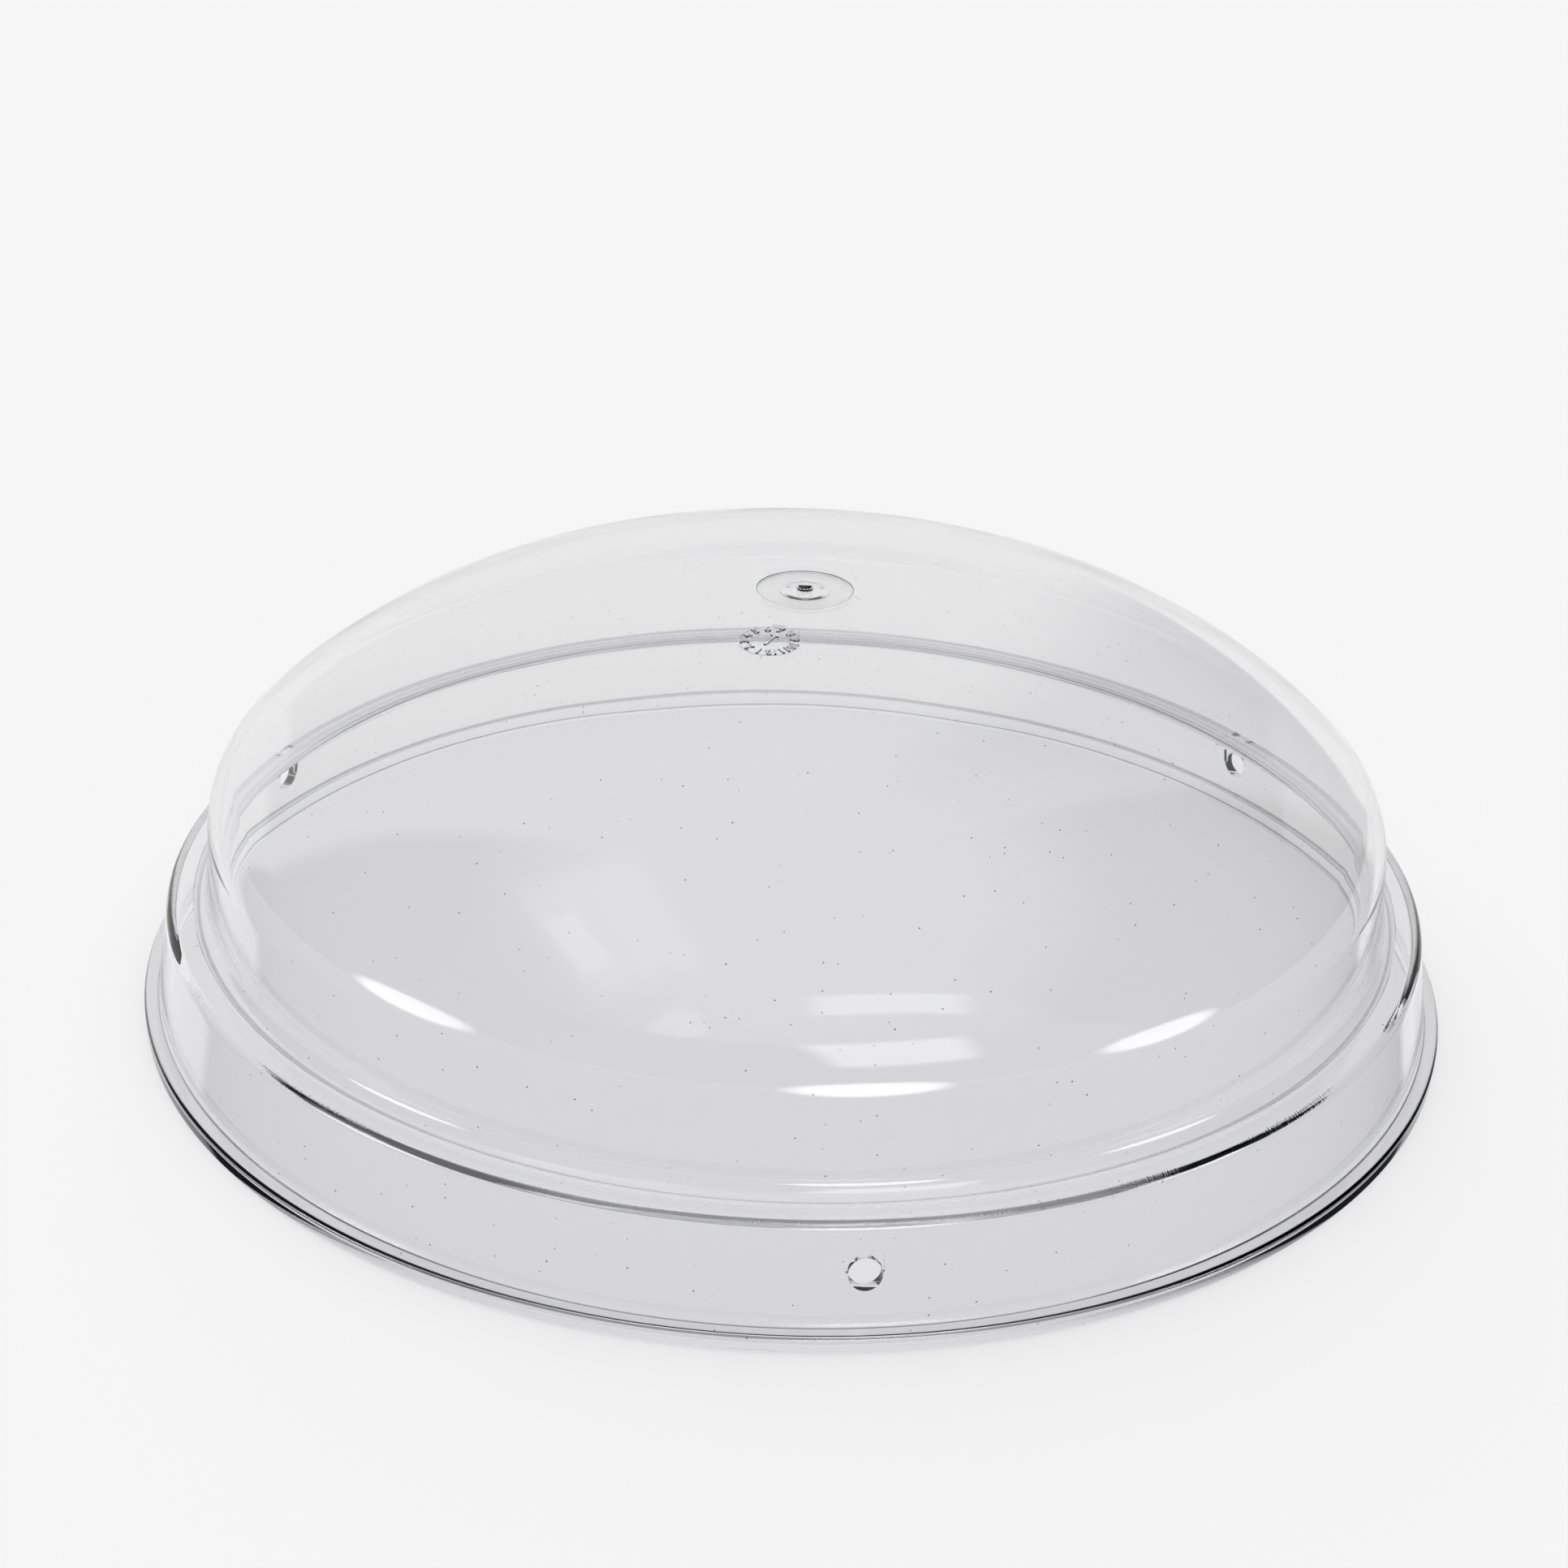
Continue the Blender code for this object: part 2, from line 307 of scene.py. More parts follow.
def ring_outline():
    """Section of the base ring: bead, drafted skirt, flat ledge and the lip under the dome's foot."""
    underside = LEDGE_HEIGHT - LEDGE_THICKNESS
    seat_edge = LAP_RADIUS + HAIRLINE
    foot_inside = Vector((skirt_radius(0.0) - SKIRT_WALL, 0.0))
    foot_outside = Vector((RIM_RADIUS, 0.0))
    bead_top = Vector((RIM_RADIUS, RIM_HEIGHT))
    bead_root = Vector((SKIRT_FOOT_RADIUS, RIM_HEIGHT))
    ledge_corner = Vector((LEDGE_RADIUS, LEDGE_HEIGHT))
    ledge_edge = Vector((FOOT_RADIUS + HAIRLINE, LEDGE_HEIGHT))
    seat_root = Vector((FOOT_RADIUS + HAIRLINE, SEAT_HEIGHT))
    seat_lip = Vector((seat_edge, SEAT_HEIGHT))
    lip_bottom = Vector((seat_edge, underside))
    inner_corner = Vector((skirt_radius(underside) - SKIRT_WALL, underside))
    top = rounded(bead_root, ledge_corner, ledge_edge, CORNER_ROUNDING)
    root = rounded(bead_top, bead_root, ledge_corner, RIM_ROUNDING / 2)
    inside = rounded(lip_bottom, inner_corner, foot_inside, INNER_ROUNDING)
    outline = [foot_inside]
    outline += rounded(foot_inside, foot_outside, bead_top, RIM_ROUNDING / 2)
    outline += rounded(foot_outside, bead_top, bead_root, RIM_ROUNDING)
    outline += root + run(root[-1], top[0], SKIRT_ROWS) + top
    outline += [ledge_edge, seat_root, seat_lip, lip_bottom]
    outline += inside + run(inside[-1], foot_inside, SKIRT_ROWS)
    return outline


def dome_outline():
    """Section of the dome: half-lapped foot, drafted wall, shoulder, flank, crown and plug socket."""
    lap_angle = math.pi + math.acos(LAP_WIDTH / (FOOT_FILLET + WALL))
    outer = dome_face(0.0, 1.5 * math.pi, RECESS_RADIUS)
    inner = dome_face(WALL, lap_angle, BORE_RADIUS)
    floor = disc_bottom() - HAIRLINE
    margin = cap_spot(SOCKET_RADIUS)[1] - MARGIN_SINK
    socket = [Vector((SOCKET_RADIUS, margin)), Vector((SOCKET_RADIUS, floor))]
    recess = socket + [Vector((BORE_RADIUS, floor))]
    lap = [Vector((LAP_RADIUS, FOOT_BOTTOM)), Vector((FOOT_RADIUS, FOOT_BOTTOM))]
    return lap + outer + recess + inner[::-1]


def disc_bottom():
    """Height of the underside of the plug's disc."""
    return CAP[-1][1].y - RECESS_DEPTH + CLEARANCE


def plug_outline():
    """Section of the vent plug, from its disc down to the softly bulging end of its stem."""
    top = disc_bottom() + DISC_THICKNESS
    middle = Vector((0.0, top))
    edge = Vector((DISC_RADIUS, top))
    below = Vector((DISC_RADIUS, disc_bottom()))
    stem_root = Vector((STEM_RADIUS, disc_bottom()))
    inner_face = cap_spot(STEM_RADIUS)[1] - WALL
    end = []
    for i in range(STEM_STEPS + 1):
        inwards = STEM_RADIUS * i / STEM_STEPS
        share = min(1.0, inwards / STEM_SOFTNESS)
        bulge = STEM_BULGE * share * share * (3 - 2 * share)
        end.append(Vector((STEM_RADIUS - inwards, inner_face - bulge)))
    return [middle, *rounded(middle, edge, below, DISC_ROUNDING), below, stem_root] + end


def nub_outline():
    """Section of the gate pip on the disc: a rounded top on upright sides, sunk into the disc."""
    base = disc_bottom() + DISC_THICKNESS
    neck = base + NUB_RISE * NUB_COLLAR
    crown = [
        Vector((NUB_RADIUS * math.sin(turn), neck + NUB_RISE * (1 - NUB_COLLAR) * math.cos(turn)))
        for turn in (math.pi / 2 * i / NUB_ROWS for i in range(NUB_ROWS + 1))
    ]
    sunk = base - DISC_THICKNESS / 3
    return crown + [Vector((NUB_RADIUS * NUB_FLARE, sunk)), Vector((0.0, sunk))]


# Shaping


def add_ribs(plug):
    """Short upright ribs round the foot of the gate pip."""
    height = NUB_RISE * NUB_COLLAR
    for index in range(NUB_RIBS):
        bpy.ops.object.select_all(action="DESELECT")
        bpy.ops.mesh.primitive_cube_add(size=1.0)
        rib = bpy.context.object
        rib.matrix_world = (
            Matrix.Translation((0.0, 0.0, disc_bottom() + DISC_THICKNESS))
            @ Matrix.Rotation(math.pi * index / NUB_RIBS, 4, "Z")
            @ Matrix.Diagonal((2 * RIB_REACH, RIB_WIDTH, 2 * height, 1.0))
        )
        combine(plug, rib, "UNION")


def turn_piece(name, outline, closed, steps=TURN_STEPS):
    """Draws an outline point by point in edit mode and spins it about the Z axis into a solid."""
    bpy.ops.object.select_all(action="DESELECT")
    bpy.ops.mesh.primitive_plane_add(size=MM, location=(0.0, 0.0, 0.0))
    piece = bpy.context.object
    piece.name = name
    bpy.ops.object.mode_set(mode="EDIT")
    bpy.ops.mesh.merge(type="CENTER")
    bpy.ops.transform.translate(value=(outline[0].x, 0.0, outline[0].y))
    for last, point in zip(outline, outline[1:]):
        step = point - last
        bpy.ops.mesh.extrude_vertices_move(TRANSFORM_OT_translate={"value": (step.x, 0.0, step.y)})
    if closed:
        step = outline[0] - outline[-1]
        bpy.ops.mesh.extrude_vertices_move(TRANSFORM_OT_translate={"value": (step.x, 0.0, step.y)})
    bpy.ops.mesh.select_all(action="SELECT")
    bpy.ops.mesh.remove_doubles(threshold=MERGE_DISTANCE)
    bpy.ops.mesh.spin(steps=steps, angle=math.tau, center=(0.0, 0.0, 0.0), axis=(0.0, 0.0, 1.0))
    bpy.ops.mesh.select_all(action="SELECT")
    bpy.ops.mesh.remove_doubles(threshold=MERGE_DISTANCE)
    bpy.ops.mesh.normals_make_consistent(inside=False)
    bpy.ops.object.mode_set(mode="OBJECT")
    return piece


def combine(piece, other, operation):
    """Joins another shape to a piece or cuts it out, and removes that shape."""
    change = piece.modifiers.new(operation.lower(), "BOOLEAN")
    change.operation = operation
    change.solver = "MANIFOLD"
    change.object = other
    bpy.ops.object.select_all(action="DESELECT")
    bpy.context.view_layer.objects.active = piece
    bpy.ops.object.modifier_apply(modifier=change.name)
    bpy.data.objects.remove(other)


def drill_skirt(ring):
    """The evenly spaced fixing holes and the square shut-off relief inside each."""
    depth = 4 * (RIM_WIDTH + SKIRT_WALL)
    outer = skirt_radius(HOLE_HEIGHT)
    lean = Matrix.Rotation(-SKIRT_DRAFT, 4, "Y")
    for index in range(HOLE_COUNT):
        turn = Matrix.Rotation(math.tau * index / HOLE_COUNT - math.pi / 2, 4, "Z")
        middle = Matrix.Translation((outer - SKIRT_WALL / 2, 0.0, HOLE_HEIGHT))
        bpy.ops.object.select_all(action="DESELECT")
        bpy.ops.mesh.primitive_cylinder_add(vertices=HOLE_SIDES, radius=HOLE_RADIUS, depth=depth)
        drill = bpy.context.object
        drill.matrix_world = turn @ middle @ Matrix.Rotation(math.pi / 2, 4, "Y")
        combine(ring, drill, "DIFFERENCE")
        size = Vector((depth, 2 * HOLE_RADIUS + 2 * CLEARANCE, HOLE_RADIUS + 2 * CLEARANCE))
        inner = outer - SKIRT_WALL + RELIEF_DEPTH / math.cos(SKIRT_DRAFT)
        face = Matrix.Translation((inner, 0.0, HOLE_HEIGHT))
        sunk = Matrix.Translation((-depth / 2, 0.0, size.z / 2 - CLEARANCE))
        bpy.ops.object.select_all(action="DESELECT")
        bpy.ops.mesh.primitive_cube_add(size=1.0)
        block = bpy.context.object
        block.matrix_world = turn @ face @ lean @ sunk @ Matrix.Diagonal(size.to_4d())
        combine(ring, block, "DIFFERENCE")


def dome_frame(x, y, up):
    """A frame on the dome's outer face over (x, y): Z out of the face, Y as near as can be to up."""
    radius = math.hypot(x, y)
    lean, height = cap_spot(radius)
    outward = Vector((x / radius * math.cos(lean), y / radius * math.cos(lean), math.sin(lean)))
    across = up.cross(outward).normalized()
    along = outward.cross(across)
    place = Matrix((across, along, outward)).transposed().to_4x4()
    place.translation = (x, y, height)
    return place


def add_figure(body, place):
    """One raised figure of the month dial, as a mesh."""
    bpy.ops.object.select_all(action="DESELECT")
    bpy.ops.object.text_add()
    figure = bpy.context.object
    figure.data.body = body
    figure.data.size = FIGURE_SIZE
    figure.data.extrude = FIGURE_HEIGHT - FIGURE_CHAMFER
    figure.data.bevel_depth = FIGURE_CHAMFER
    figure.data.bevel_resolution = 0
    figure.data.resolution_u = FIGURE_CURVE_STEPS
    figure.data.align_x = "CENTER"
    figure.data.align_y = "CENTER"
    bpy.ops.object.convert(target="MESH")
    figure = bpy.context.object
    figure.matrix_world = place
    return figure


def add_dial(dome):
    """The month dial that a mould insert leaves: a ring line, twelve raised figures and an arrow."""
    middle = Vector((math.cos(DIAL_BEARING), math.sin(DIAL_BEARING), 0.0)) * DIAL_DISTANCE
    front = Vector((0.0, -1.0, 0.0))
    shapes = []
    for month in range(1, DIAL_MONTHS + 1):
        turn = Matrix.Rotation(-math.tau * month / DIAL_MONTHS, 3, "Z")
        up = turn @ front
        spot = middle + up * FIGURE_RING
        shapes.append(add_figure(str(month), dome_frame(spot.x, spot.y, up)))
    dial = dome_frame(middle.x, middle.y, front)
    sink = dial.inverted() @ dome_frame(middle.x, middle.y - DIAL_RADIUS, front).translation
    bpy.ops.object.select_all(action="DESELECT")
    bpy.ops.mesh.primitive_torus_add(
        major_radius=DIAL_RADIUS,
        minor_radius=DIAL_LINE,
        major_segments=DIAL_SEGMENTS,
        minor_segments=DIAL_LINE_SIDES,
    )
    line = bpy.context.object
    line.matrix_world = dial @ Matrix.Translation((0.0, 0.0, sink.z))
    shapes.append(line)
    pointing = dial @ Matrix.Rotation(math.pi + ARROW_TURN, 4, "Z")
    bpy.ops.mesh.primitive_cube_add(size=1.0)
    shaft = bpy.context.object
    size = (ARROW_WIDTH, ARROW_LENGTH, 2 * FIGURE_HEIGHT, 1.0)
    shaft.matrix_world = pointing @ Matrix.Diagonal(size)
    shapes.append(shaft)
    bpy.ops.mesh.primitive_cylinder_add(vertices=3, radius=ARROW_HEAD, depth=2 * FIGURE_HEIGHT)
    head = bpy.context.object
    head.matrix_world = pointing @ Matrix.Translation((0.0, ARROW_TIP, 0.0))
    shapes.append(head)
    bpy.ops.object.select_all(action="DESELECT")
    for shape in shapes:
        shape.select_set(True)
    bpy.context.view_layer.objects.active = line
    bpy.ops.object.join()
    bpy.ops.object.transform_apply(location=True, rotation=True, scale=True)
    bpy.ops.object.mode_set(mode="EDIT")
    bpy.ops.mesh.select_all(action="SELECT")
    bpy.ops.mesh.remove_doubles(threshold=DIAL_MERGE_DISTANCE)
    bpy.ops.mesh.normals_make_consistent(inside=False)
    bpy.ops.object.mode_set(mode="OBJECT")
    combine(dome, line, "UNION")


def smooth(piece, angle):
    """Smooth shading, with edges sharper than the angle kept crisp."""
    bpy.ops.object.select_all(action="DESELECT")
    piece.select_set(True)
    bpy.context.view_layer.objects.active = piece
    bpy.ops.object.shade_smooth_by_angle(angle=angle)


# Materials


def linear(code):
    """An sRGB hex colour as linear red, green, blue and alpha."""
    parts = [int(code[i:i + 2], 16) / 255 for i in (1, 3, 5)]
    return [p / 12.92 if p <= 0.04045 else ((p + 0.055) / 1.055) ** 2.4 for p in parts] + [1.0]


def add_node(tree, kind, inputs, **settings):
    """Adds a node with its settings, and its inputs as plain values or as links from other sockets."""
    node = tree.nodes.new(kind)
    for key, value in settings.items():
        setattr(node, key, value)
    for key, value in inputs.items():
        if isinstance(value, bpy.types.NodeSocket):
            tree.links.new(value, node.inputs[key])
        else:
            node.inputs[key].default_value = value
    return node


def new_tree(name):
    """A new material and its empty node tree."""
    material = bpy.data.materials.new(name)
    material.use_nodes = True
    material.node_tree.nodes.clear()
    return material, material.node_tree


def corner_scores(tree, place):
    """Fine tool scores in patches across the upper half of the ledge's rounded corner, as a height."""
    x, y, z = add_node(tree, "ShaderNodeSeparateXYZ", {0: place}).outputs
    bearing = add_node(tree, "ShaderNodeMath", {0: y, 1: x}, operation="ARCTAN2").outputs[0]
    flat = add_node(tree, "ShaderNodeCombineXYZ", {"X": x, "Y": y}).outputs[0]
    radius = add_node(tree, "ShaderNodeVectorMath", {0: flat}, operation="LENGTH").outputs["Value"]
    score_noise = {"W": bearing, "Scale": LEDGE_RADIUS / SCORE_PITCH, "Detail": 1.0}
    height = add_node(tree, "ShaderNodeTexNoise", score_noise, noise_dimensions="1D").outputs[0]
    patch_noise = {"W": bearing, "Scale": LEDGE_RADIUS / SCORE_PATCH, "Detail": 1.0}
    patches = add_node(tree, "ShaderNodeTexNoise", patch_noise, noise_dimensions="1D").outputs[0]
    start = LEDGE_RADIUS - SCORE_REACH
    outside = {"Value": radius, "From Min": start, "From Max": start + CORNER_ROUNDING / 3}
    low = LEDGE_HEIGHT - CORNER_ROUNDING / 2
    above = {"Value": z, "From Min": low, "From Max": low + CORNER_ROUNDING / 4}
    patchy = {"Value": patches, "From Min": PATCH_FADE, "From Max": PATCH_FULL}
    for limits in (outside, above, patchy):
        share = add_node(tree, "ShaderNodeMapRange", limits).outputs[0]
        height = add_node(tree, "ShaderNodeMath", {0: height, 1: share}, operation="MULTIPLY").outputs[0]
    return height


def clear_plastic(name, scored):
    """Moulded clear acrylic: glossy, faintly violet in depth, with slow flow waves and dust specks."""
    material, tree = new_tree(name)
    place = add_node(tree, "ShaderNodeTexCoord", {}).outputs["Object"]
    wave_noise = {"Vector": place, "Scale": 1 / WAVE_LENGTH, "Detail": 1.0}
    waves = add_node(tree, "ShaderNodeTexNoise", wave_noise).outputs[0]
    flow = {"Height": waves, "Strength": WAVE_STRENGTH, "Distance": WAVE_HEIGHT}
    bump = add_node(tree, "ShaderNodeBump", flow).outputs[0]
    if scored:
        scores = corner_scores(tree, place)
        marks = {"Height": scores, "Strength": 1.0, "Distance": SCORE_HEIGHT, "Normal": bump}
        bump = add_node(tree, "ShaderNodeBump", marks).outputs[0]
    dust = add_node(tree, "ShaderNodeTexVoronoi", {"Vector": place, "Scale": 1 / SPECK_SPACING})
    size = add_node(tree, "ShaderNodeSeparateColor", {0: dust.outputs["Color"]}).outputs[0]
    largest = SPECK_RADIUS / SPECK_SPACING
    radius = add_node(tree, "ShaderNodeMath", {0: size, 1: largest}, operation="MULTIPLY").outputs[0]
    reach = {0: dust.outputs["Distance"], 1: radius}
    speck = add_node(tree, "ShaderNodeMath", reach, operation="LESS_THAN").outputs[0]
    tones = {"Factor": speck, "A": linear(PLASTIC_TINT), "B": linear(SPECK_COLOUR)}
    colour = add_node(tree, "ShaderNodeMix", tones, data_type="RGBA").outputs["Result"]
    gloss = {
        "Base Color": colour,
        "Roughness": PLASTIC_ROUGHNESS,
        "IOR": PLASTIC_IOR,
        "Transmission Weight": 1.0,
        "Normal": bump,
    }
    surface = add_node(tree, "ShaderNodeBsdfPrincipled", gloss).outputs[0]
    passing = add_node(tree, "ShaderNodeBsdfTransparent", {"Color": linear(PASSED_LIGHT)}).outputs[0]
    light = add_node(tree, "ShaderNodeLightPath", {})
    for ray in ("Is Diffuse Ray", "Is Shadow Ray"):
        either = {0: light.outputs[ray], 1: surface, 2: passing}
        surface = add_node(tree, "ShaderNodeMixShader", either).outputs[0]
    absorbed = {"Color": linear(DEPTH_COLOUR), "Density": DEPTH_DENSITY}
    depth = add_node(tree, "ShaderNodeVolumeAbsorption", absorbed).outputs[0]
    add_node(tree, "ShaderNodeOutputMaterial", {"Surface": surface, "Volume": depth})
    return material


def give(piece, material):
    """Makes this the piece's only material."""
    piece.data.materials.clear()
    piece.data.materials.append(material)


# Studio


def make_floor():
    """A wide flat pale floor that fills the picture behind the object."""
    bpy.ops.object.select_all(action="DESELECT")
    bpy.ops.mesh.primitive_circle_add(
        vertices=FLOOR_SIDES,
        radius=FLOOR_RADIUS,
        fill_type="NGON",
        location=(0, 0, -FLOOR_DROP),
    )
    floor = bpy.context.object
    floor.name = "studio_floor"
    floor.visible_glossy = False
    return floor


def pale_floor():
    """Matt white paper, part of it the paper's own glow so that the shadow stays faint."""
    material, tree = new_tree("matt_paper_floor")
    white = linear(FLOOR_COLOUR)
    paper = add_node(tree, "ShaderNodeBsdfDiffuse", {"Color": white}).outputs[0]
    glow = add_node(tree, "ShaderNodeEmission", {"Color": white, "Strength": 1.0}).outputs[0]
    light = add_node(tree, "ShaderNodeLightPath", {})
    seen = light.outputs["Is Camera Ray"]
    for ray in ("Is Glossy Ray", "Is Transmission Ray"):
        either = {0: seen, 1: light.outputs[ray]}
        seen = add_node(tree, "ShaderNodeMath", either, operation="MAXIMUM").outputs[0]
    part = {0: seen, 1: FLOOR_OWN_SHARE}
    share = add_node(tree, "ShaderNodeMath", part, operation="MULTIPLY").outputs[0]
    mix = add_node(tree, "ShaderNodeMixShader", {0: share, 1: paper, 2: glow}).outputs[0]
    add_node(tree, "ShaderNodeOutputMaterial", {"Surface": mix})
    return material


def edge_fade(tree, distance):
    """1 inside a card and 0 at its edge, by the distance from its middle."""
    limits = {"Value": distance, "From Min": 0.5, "From Max": 0.3}
    return add_node(tree, "ShaderNodeMapRange", limits, interpolation_type="SMOOTHSTEP").outputs[0]


def round_glow(tree, place):
    """A card's glow as an oval that fades to its edge."""
    reach = add_node(tree, "ShaderNodeVectorMath", {0: place}, operation="LENGTH")
    return edge_fade(tree, reach.outputs["Value"])


def square_glow(tree, place):
    """A card's glow as a rectangle that fades to its edges."""
    parts = add_node(tree, "ShaderNodeSeparateXYZ", {0: place})
    across = add_node(tree, "ShaderNodeMath", {0: parts.outputs["X"]}, operation="ABSOLUTE")
    along = add_node(tree, "ShaderNodeMath", {0: parts.outputs["Y"]}, operation="ABSOLUTE")
    both = {0: edge_fade(tree, across.outputs[0]), 1: edge_fade(tree, along.outputs[0])}
    return add_node(tree, "ShaderNodeMath", both, operation="MULTIPLY").outputs[0]


def glow_card(name, shape, azimuth, elevation, distance, width, height, strength, roll=0.0):
    """A soft-edged glowing card at a bearing and height, facing the dome: only the gloss shows it."""
    bearing = math.radians(azimuth)
    rise = math.radians(elevation)
    level = math.cos(rise)
    away = Vector((math.cos(bearing) * level, math.sin(bearing) * level, math.sin(rise)))
    bpy.ops.object.select_all(action="DESELECT")
    bpy.ops.mesh.primitive_plane_add(size=1.0)
    card = bpy.context.object
    card.name = name
    card.matrix_world = (
        Matrix.Translation(CARD_AIM + away * distance)
        @ away.to_track_quat("Z", "Y").to_matrix().to_4x4()
        @ Matrix.Rotation(math.radians(roll), 4, "Z")
        @ Matrix.Diagonal((width, height, 1.0, 1.0))
    )
    material, tree = new_tree(name + "_glow")
    place = add_node(tree, "ShaderNodeTexCoord", {}).outputs["Object"]
    power = {0: shape(tree, place), 1: strength}
    light = add_node(tree, "ShaderNodeMath", power, operation="MULTIPLY").outputs[0]
    glow = add_node(tree, "ShaderNodeEmission", {"Strength": light}).outputs[0]
    clear = add_node(tree, "ShaderNodeBsdfTransparent", {}).outputs[0]
    both = add_node(tree, "ShaderNodeAddShader", {0: glow, 1: clear}).outputs[0]
    add_node(tree, "ShaderNodeOutputMaterial", {"Surface": both})
    give(card, material)
    card.visible_camera = False
    card.visible_diffuse = False
    card.visible_transmission = False
    card.visible_shadow = False


def strip(name, azimuth, elevation, width, strength):
    """A long low card near the dome."""
    glow_card(name, round_glow, azimuth, elevation, STRIP_DISTANCE, width, STRIP_HEIGHT, strength)


def window(name, shape, azimuth, elevation, width, height, strength, roll=0.0):
    """A card high up and further off."""
    glow_card(name, shape, azimuth, elevation, WINDOW_DISTANCE, width, height, strength, roll)


def overhead_fill():
    """Even soft light from above that the floor shows and the gloss doesn't."""
    data = bpy.data.lights.new("overhead_fill", "SUN")
    data.energy = FILL_STRENGTH
    data.angle = FILL_ANGLE
    lamp = bpy.data.objects.new("overhead_fill", data)
    bpy.context.collection.objects.link(lamp)
    lamp.visible_camera = False
    lamp.visible_glossy = False
    lamp.visible_transmission = False


def add_wall(tree, heading, room, colour, bearing, inner, outer):
    """Paints a wall over the room: whole within the inner angle of its bearing, gone past the outer."""
    middle = math.radians(bearing)
    ways = {0: heading, 1: (math.cos(middle), math.sin(middle), 0.0)}
    towards = add_node(tree, "ShaderNodeVectorMath", ways, operation="DOT_PRODUCT").outputs["Value"]
    limits = {
        "Value": towards,
        "From Min": math.cos(math.radians(outer)),
        "From Max": math.cos(math.radians(inner)),
    }
    share = add_node(tree, "ShaderNodeMapRange", limits, interpolation_type="SMOOTHSTEP").outputs[0]
    tones = {"Factor": share, "A": room, "B": linear(colour)}
    return add_node(tree, "ShaderNodeMix", tones, data_type="RGBA").outputs["Result"]


def add_back(tree, heading, room):
    """Paints the pale backdrop over the room."""
    return add_wall(tree, heading, room, ROOM_BACK, BACK_BEARING, BACK_INNER, BACK_OUTER)


def make_world():
    """The room: pale behind and above, grey left and in front, dark on the right, white to the camera."""
    world = bpy.data.worlds.new("studio_room")
    world.use_nodes = True
    tree = world.node_tree
    tree.nodes.clear()
    way = add_node(tree, "ShaderNodeTexCoord", {}).outputs["Generated"]
    x, y, z = add_node(tree, "ShaderNodeSeparateXYZ", {0: way}).outputs
    flat = add_node(tree, "ShaderNodeCombineXYZ", {"X": x, "Y": y}).outputs[0]
    heading = add_node(tree, "ShaderNodeVectorMath", {0: flat}, operation="NORMALIZE").outputs[0]
    room = add_wall(tree, heading, linear(ROOM_FRONT), ROOM_LEFT, bearing=182.0, inner=28.0, outer=44.0)
    room = add_back(tree, heading, room)
    room = add_wall(tree, heading, room, ROOM_BACK_RIGHT, bearing=47.0, inner=10.0, outer=28.0)
    room = add_wall(tree, heading, room, ROOM_RIGHT, bearing=5.0, inner=31.5, outer=36.5)
    limits = {"Value": z, "From Min": CEILING_START, "From Max": CEILING_FULL}
    above = add_node(tree, "ShaderNodeMapRange", limits, interpolation_type="SMOOTHSTEP").outputs[0]
    below = add_node(tree, "ShaderNodeMath", {0: z, 1: 0.0}, operation="LESS_THAN").outputs[0]
    under = add_back(tree, heading, linear(ROOM_BELOW))
    seen = add_node(tree, "ShaderNodeLightPath", {}).outputs["Is Camera Ray"]
    layers = [(above, linear(ROOM_CEILING)), (below, under), (seen, linear(FLOOR_COLOUR))]
    for share, colour in layers:
        tones = {"Factor": share, "A": room, "B": colour}
        room = add_node(tree, "ShaderNodeMix", tones, data_type="RGBA").outputs["Result"]
    glow = add_node(tree, "ShaderNodeBackground", {"Color": room, "Strength": 1.0}).outputs[0]
    add_node(tree, "ShaderNodeOutputWorld", {"Surface": glow})
    bpy.context.scene.world = world


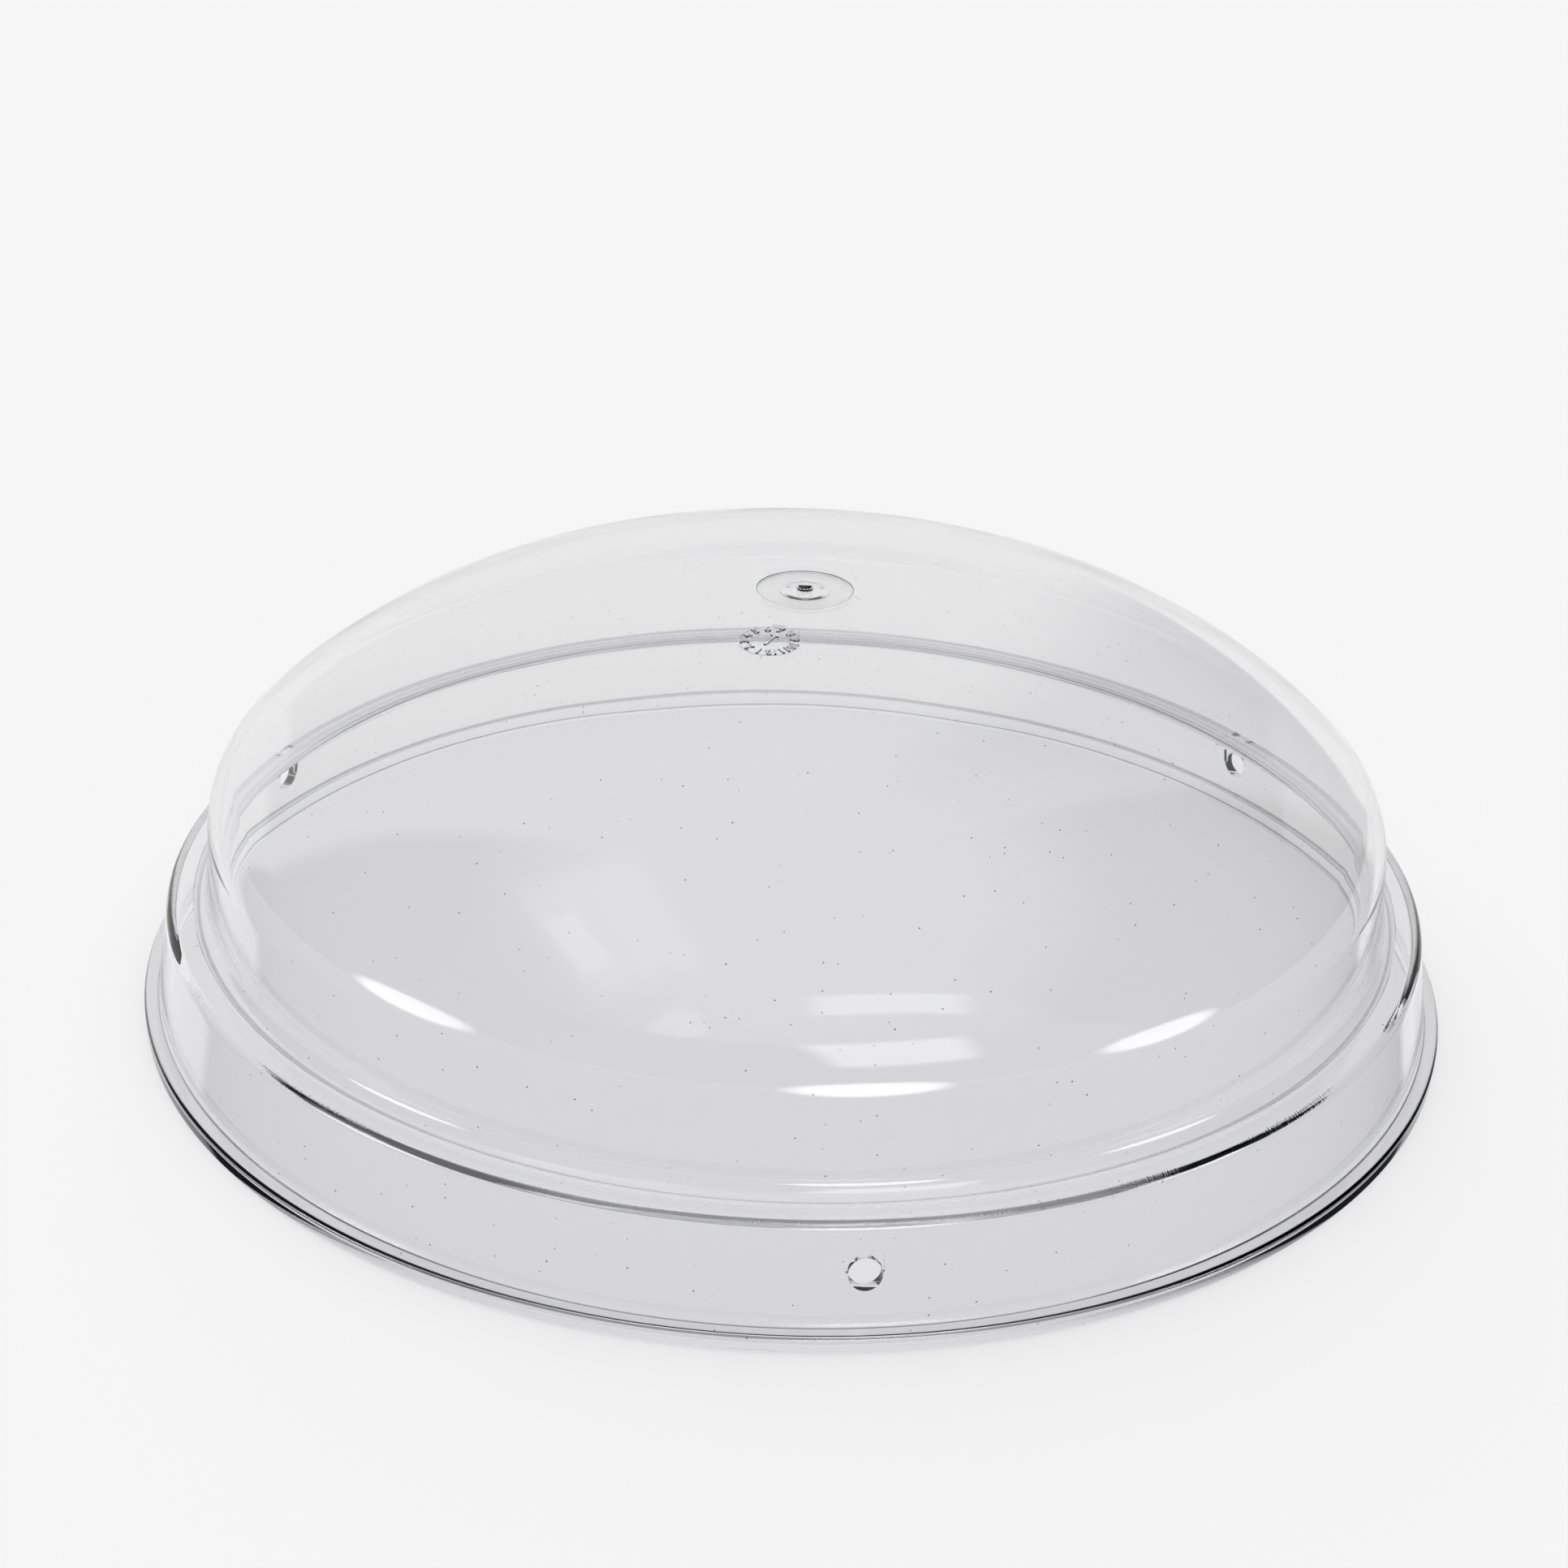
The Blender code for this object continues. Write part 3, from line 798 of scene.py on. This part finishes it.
def make_camera():
    """The photograph's camera."""
    data = bpy.data.cameras.new("photo_camera")
    data.sensor_fit = "HORIZONTAL"
    data.sensor_width = SENSOR_WIDTH_MM
    data.lens = SENSOR_WIDTH_MM * FOCAL_PIXELS / IMAGE_PIXELS
    camera = bpy.data.objects.new("photo_camera", data)
    bpy.context.collection.objects.link(camera)
    turn = Matrix.Rotation(CAMERA_HEADING, 4, "Z")
    tilt = Matrix.Rotation(math.pi / 2 - CAMERA_PITCH, 4, "X")
    roll = Matrix.Rotation(CAMERA_ROLL, 4, "Z")
    camera.matrix_world = Matrix.Translation(CAMERA_PLACE) @ turn @ tilt @ roll
    bpy.context.scene.camera = camera


# Pieces

CAP = fitted_cap()

ring = turn_piece("clear_base_ring", ring_outline(), True)
drill_skirt(ring)
smooth(ring, SHARP_ANGLE)
give(ring, clear_plastic("clear_plastic_ring", True))
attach(ring, "ring")
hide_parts("base_ring")

dome = turn_piece("clear_dome_cover", dome_outline(), True)
add_dial(dome)
smooth(dome, SHARP_ANGLE)
give(dome, clear_plastic("clear_plastic_dome", False))
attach(dome, "dome")
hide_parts("dome_cover")

plug = turn_piece("clear_vent_plug", plug_outline(), False)
combine(plug, turn_piece("gate_pip", nub_outline(), False, NUB_SIDES), "UNION")
add_ribs(plug)
smooth(plug, SHARP_ANGLE)
give(plug, clear_plastic("clear_plastic_plug", False))
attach(plug, "plug")
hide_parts("vent_plug")

# Floor, light and camera

floor = make_floor()
give(floor, pale_floor())
make_world()
overhead_fill()
strip("left_strip", azimuth=-159, elevation=4, width=0.30, strength=7.5)
strip("front_strip", azimuth=-84, elevation=0, width=0.32, strength=8.5)
strip("right_strip", azimuth=-35, elevation=6, width=0.28, strength=7.5)
window("window_left", square_glow, -168, 66, width=0.75, height=0.50, strength=0.9)
window("window_left_sill", square_glow, -166, 61, width=0.35, height=0.14, strength=1.0)
window("window_side", round_glow, -124, 56, width=0.24, height=0.36, strength=1.2)
window("window_front", square_glow, -75, 41, width=0.70, height=0.85, strength=4.0)
window("window_front_top", square_glow, -66, 64, width=0.62, height=0.11, strength=2.6, roll=-20)
make_camera()
bpy.context.scene.view_settings.view_transform = "Standard"
